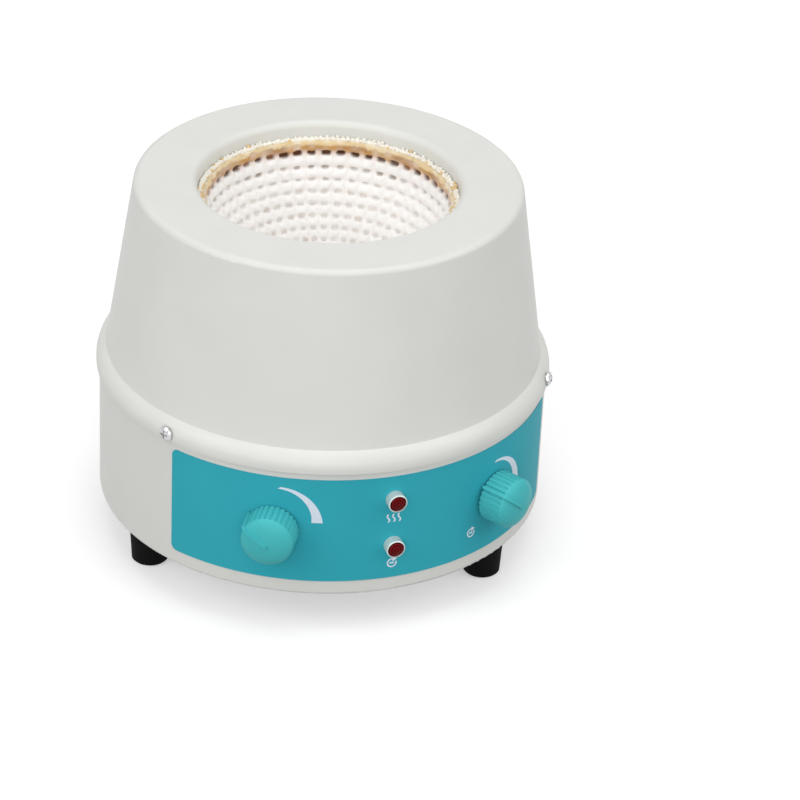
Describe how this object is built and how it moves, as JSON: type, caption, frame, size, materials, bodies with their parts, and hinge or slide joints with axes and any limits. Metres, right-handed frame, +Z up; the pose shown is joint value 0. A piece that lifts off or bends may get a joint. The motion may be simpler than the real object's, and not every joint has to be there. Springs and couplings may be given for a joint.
{
  "type": "heating mantle with magnetic stirrer",
  "caption": "Round bench heating mantle: conical pale shell over a drum base, woven hemispherical well for a round flask, teal front panel with knobs and red lamps.",
  "frame": {"origin": "on the body's axis, on the bench plane under the feet", "axes": "+Z up along the body's axis, -Y towards the control panel, +X to the viewer's right"},
  "size_m": [0.203, 0.2092, 0.1708],
  "materials": {
    "shell_paint": "off-white powder coat, fine texture, satin",
    "panel_label": "teal printed film, satin",
    "knob_plastic": "turquoise moulded plastic, semi-gloss",
    "lamp_bezel": "bright nickel plate",
    "lamp_lens": "dark red lens, glossy",
    "heater_cloth": "woven glass-fibre yarn, white, scorched brown near the rim",
    "fibre_insulation": "moulded ceramic fibre",
    "cup_aluminium": "spun, mill finish",
    "plain_steel": "zinc-plated sheet",
    "motor_can": "black lacquer",
    "fastener_chrome": "bright zinc or nickel plate",
    "nut_steel": "zinc plate",
    "foot_rubber": "black rubber, matt",
    "black_moulding": "black moulding, fine grain",
    "carrier_plastic": "cream nylon",
    "magnet_nickel": "nickel-plated magnet",
    "board_laminate": "green glass-epoxy laminate",
    "sink_aluminium": "extruded",
    "terminal_green": "green moulding",
    "pin_brass": "nickel-plated brass"
  },
  "bodies": {
    "housing": {"upper_shell": "shell_paint", "base_drum": "shell_paint", "control_panel": "panel_label", "heat_lamp_bezel": "lamp_bezel", "stir_lamp_bezel": "lamp_bezel", "heat_lamp_lens": "lamp_lens", "stir_lamp_lens": "lamp_lens", "woven_heater": "heater_cloth", "insulation_bowl": "fibre_insulation", "inner_cup": "cup_aluminium", "partition_plate": "plain_steel", "motor_bracket": "plain_steel", "cup_posts": "plain_steel", "motor_standoffs": "plain_steel", "bottom_plate": "plain_steel", "stirring_motor": "motor_can", "transformer": "motor_can", "rim_screws": "fastener_chrome", "foot_screws": "fastener_chrome", "plate_screws": "fastener_chrome", "post_screws": "fastener_chrome", "standoff_screws": "fastener_chrome", "motor_screws": "fastener_chrome", "board_screws": "fastener_chrome", "rim_nuts": "nut_steel", "foot_nuts": "nut_steel", "lamp_nuts": "nut_steel", "heat_control_nut": "nut_steel", "stir_control_nut": "nut_steel", "right_foot": "foot_rubber", "left_foot": "foot_rubber", "rear_foot": "foot_rubber", "mains_inlet": "black_moulding", "heat_control": "black_moulding", "stir_control": "black_moulding", "triacs": "black_moulding", "board_standoffs": "carrier_plastic", "circuit_board": "board_laminate", "heat_sink": "sink_aluminium", "terminal_block": "terminal_green", "inlet_pins": "pin_brass"},
    "heat_dial": {"heat_knob": "knob_plastic", "heat_control_shaft": "plain_steel"},
    "stir_dial": {"stir_knob": "knob_plastic", "stir_control_shaft": "plain_steel"},
    "stirrer": {"motor_shaft": "plain_steel", "magnet_carrier": "carrier_plastic", "stirring_magnets": "magnet_nickel"}
  },
  "joints": [
    {"name": "heat_knob_turn", "type": "hinge", "parent": "housing", "child": "heat_dial", "pos_m": [-0.05075, -0.08616, 0.0525], "axis": [0.5075, 0.8616, 0], "range_deg": [0, 300]},
    {"name": "stir_knob_turn", "type": "hinge", "parent": "housing", "child": "stir_dial", "pos_m": [0.05075, -0.08616, 0.0525], "axis": [-0.5075, 0.8616, 0], "range_deg": [-11, 289]},
    {"name": "stirrer_spin", "type": "hinge", "parent": "housing", "child": "stirrer", "pos_m": [0, 0, 0.08], "axis": [0, 0, 1], "continuous": true}
  ]
}
